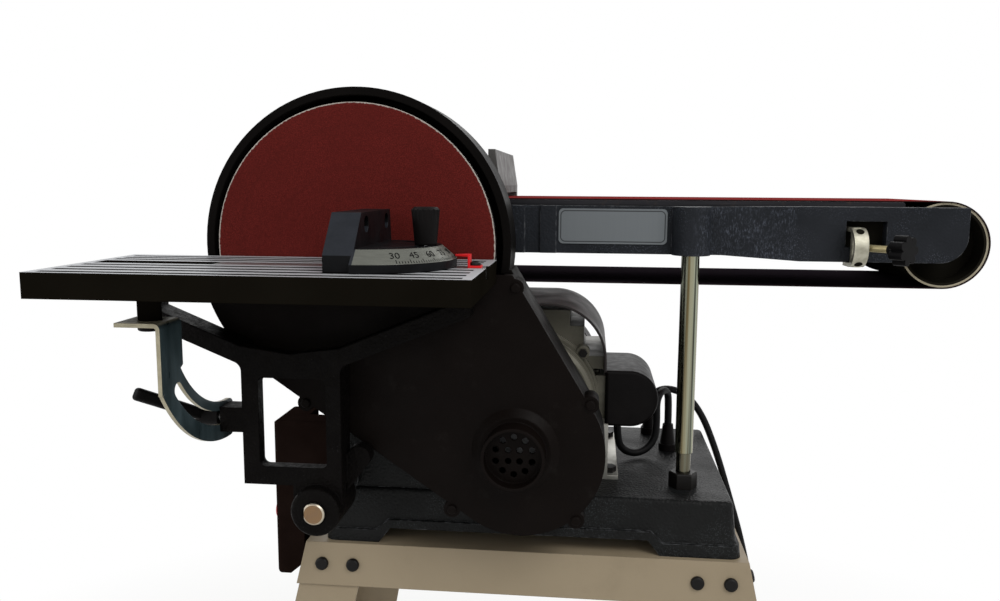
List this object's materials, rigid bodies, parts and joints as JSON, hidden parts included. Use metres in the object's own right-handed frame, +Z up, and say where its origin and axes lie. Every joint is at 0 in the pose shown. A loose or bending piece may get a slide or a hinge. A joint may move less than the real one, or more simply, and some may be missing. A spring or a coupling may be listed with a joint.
{
  "type": "belt and disc sander",
  "caption": "Bench belt and disc sander on an open splayed stand, with a tilting belt arm, a grooved tilting table with miter gauge, guarded drive and foot mounted motor.",
  "frame": {"origin": "on the floor, in the middle of the four floor bolt holes in the stand's feet", "axes": "+Z up, +X to the right along the belt arm, +Y from the disc's face towards the machine's back"},
  "size_m": [0.7198, 0.5484, 1.0135],
  "materials": {
    "base_paint": "hammered dark grey paint on a casting",
    "guard_black": "matt black paint",
    "bracket_black": "black painted sand casting",
    "table_alu": "machined top, black painted sides",
    "sector_zinc": "blue zinc plated",
    "bright_zinc": "bright zinc plated",
    "stand_paint": "cream powder coat",
    "abrasive_disc": "aluminium oxide grit on cloth",
    "abrasive_belt": "aluminium oxide grit on cloth",
    "steel": "turned or ground steel",
    "dark_steel": "blackened steel",
    "black_plastic": "moulded, slight sheen",
    "black_rubber": "matt",
    "motor_alu": "die cast, grey",
    "motor_sheet": "dark grey paint on sheet steel",
    "galvanised": "galvanised sheet",
    "winding": "iron ring with copper winding",
    "red_plastic": "moulded",
    "green_plastic": "moulded"
  },
  "bodies": {
    "frame": {"stand_rails": "stand_paint", "stand_legs": "stand_paint", "stand_braces": "stand_paint", "stand_feet": "black_rubber", "stand_bolts": "dark_steel", "machine_base": "base_paint", "machine_bolts": "dark_steel", "support_post": "bright_zinc", "post_nut": "dark_steel", "table_bar": "steel", "spindle_pedestal": "base_paint", "spindle_bearings": "steel", "guard_housing": "guard_black", "front_cover": "guard_black", "cover_screws": "dark_steel", "drive_v_belt": "black_rubber", "motor_cradle": "galvanised", "motor_body": "motor_alu", "motor_stator": "winding", "motor_front_bell": "motor_alu", "motor_shroud": "motor_sheet", "motor_fan_cover": "motor_sheet", "capacitor_box": "black_plastic", "switch_box": "black_plastic", "cord_glands": "black_plastic", "motor_lead": "black_rubber", "mains_cord": "black_rubber", "mains_coil": "black_rubber", "coil_tie": "black_plastic", "mains_plug": "black_plastic"},
    "spindle": {"spindle_shaft": "steel", "disc_plate": "table_alu", "sanding_disc": "abrasive_disc", "spindle_pulley": "motor_alu", "drive_drum": "motor_alu"},
    "rotor": {"motor_shaft": "steel", "motor_pulley": "motor_alu", "motor_fan": "black_plastic"},
    "arm": {"belt_arm": "base_paint", "platen": "steel", "sanding_belt": "abrasive_belt", "work_stop": "motor_alu", "tracking_yoke": "bright_zinc", "yoke_pin": "bright_zinc"},
    "idler_carriage": {"idler_slide": "steel"},
    "idler_fork": {"idler_bracket": "bright_zinc"},
    "idler": {"idler_roller": "motor_alu"},
    "tracking": {"tracking_knob": "black_plastic"},
    "bracket": {"table_bracket": "bracket_black", "bracket_pins": "steel"},
    "table": {"sander_table": "table_alu", "sector_plate": "sector_zinc", "sector_bolt": "dark_steel"},
    "lock": {"lock_lever": "black_plastic"},
    "miter": {"miter_bar": "steel", "miter_pointer": "red_plastic"},
    "miter_fence": {"miter_head": "bracket_black"},
    "miter_clamp": {"miter_knob": "black_plastic"},
    "start": {"start_button": "green_plastic"},
    "stop": {"stop_button": "red_plastic"}
  },
  "joints": [
    {"name": "spindle_spin", "type": "hinge", "parent": "frame", "child": "spindle", "pos_m": [-0.1355, -0.1595, 0.887], "axis": [0, 1, 0], "continuous": true},
    {"name": "motor_spin", "type": "hinge", "parent": "frame", "child": "rotor", "pos_m": [-0.0015, -0.1595, 0.7387], "axis": [0, 1, 0], "continuous": true},
    {"name": "arm_tilt", "type": "hinge", "parent": "frame", "child": "arm", "pos_m": [-0.1355, -0.0695, 0.887], "axis": [0, -1, 0], "range_deg": [0, 90]},
    {"name": "belt_tension", "type": "slide", "parent": "arm", "child": "idler_carriage", "axis": [1, 0, 0], "range_m": [-0.008, 0]},
    {"name": "belt_tracking", "type": "hinge", "parent": "idler_carriage", "child": "idler_fork", "pos_m": [0.3205, -0.06885, 0.8945], "axis": [0, 0, 1], "range_deg": [0, 1.5]},
    {"name": "idler_spin", "type": "hinge", "parent": "idler_fork", "child": "idler", "pos_m": [0.3581, 0.0165, 0.887], "axis": [0, 1, 0], "continuous": true},
    {"name": "tracking_turn", "type": "hinge", "parent": "arm", "child": "tracking", "pos_m": [0.27575, -0.0895, 0.8865], "axis": [0.6428, -0.766, 0], "range_deg": [0, 360]},
    {"name": "bracket_slide", "type": "slide", "parent": "frame", "child": "bracket", "axis": [0, 1, 0], "range_m": [-0.025, 0]},
    {"name": "table_tilt", "type": "hinge", "parent": "bracket", "child": "table", "pos_m": [-0.1705, -0.1765, 0.86], "axis": [1, 0, 0], "range_deg": [0, 45]},
    {"name": "lock_turn", "type": "hinge", "parent": "bracket", "child": "lock", "pos_m": [-0.2255, -0.18637, 0.74944], "axis": [1, 0, 0], "range_deg": [0, 40]},
    {"name": "miter_slide", "type": "slide", "parent": "table", "child": "miter", "axis": [1, 0, 0], "range_m": [-0.09, 0.06]},
    {"name": "miter_swivel", "type": "hinge", "parent": "miter", "child": "miter_fence", "pos_m": [-0.1045, -0.2255, 0.887], "axis": [0, 0, 1], "range_deg": [-60, 60]},
    {"name": "miter_knob_turn", "type": "hinge", "parent": "miter", "child": "miter_clamp", "pos_m": [-0.0645, -0.2255, 0.902], "axis": [0, 0, 1], "range_deg": [-180, 180]},
    {"name": "start_press", "type": "slide", "parent": "frame", "child": "start", "axis": [1, 0, 0], "range_m": [0, 0.004], "stiffness_N_per_m": 400},
    {"name": "stop_press", "type": "slide", "parent": "frame", "child": "stop", "axis": [1, 0, 0], "range_m": [0, 0.004], "stiffness_N_per_m": 400}
  ],
  "couplings": [
    {"joint": "motor_spin", "follows": "spindle_spin", "ratio": 1.5333},
    {"joint": "idler_spin", "follows": "spindle_spin", "ratio": 1},
    {"joint": "tracking_turn", "follows": "belt_tracking", "ratio": 240}
  ]
}
